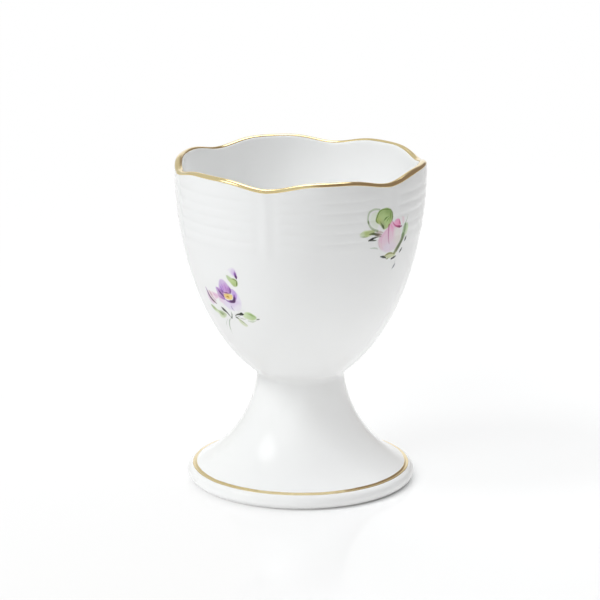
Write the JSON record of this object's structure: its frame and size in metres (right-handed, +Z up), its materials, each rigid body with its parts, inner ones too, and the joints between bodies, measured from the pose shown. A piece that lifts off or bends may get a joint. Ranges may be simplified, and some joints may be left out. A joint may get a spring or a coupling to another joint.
{
  "type": "egg cup",
  "caption": "Footed porcelain egg cup: egg-shaped bowl with a lobed gilded rim and wicker relief, on a hollow trumpet foot.",
  "frame": {"origin": "centre of the circle on which the foot stands, on the table surface", "axes": "+Z up along the cup's axis; -Y towards the front of the cup, the side that the picture shows"},
  "size_m": [0.05, 0.0502, 0.066],
  "materials": {
    "porcelain": "white hard-paste porcelain under a clear gloss glaze",
    "gold": "burnished gold, fired on the glaze"
  },
  "bodies": {
    "root": {"bowl": "porcelain", "foot": "porcelain", "joint_slip": "porcelain", "rim_gilding": "gold", "foot_gilding": "gold"}
  },
  "joints": []
}
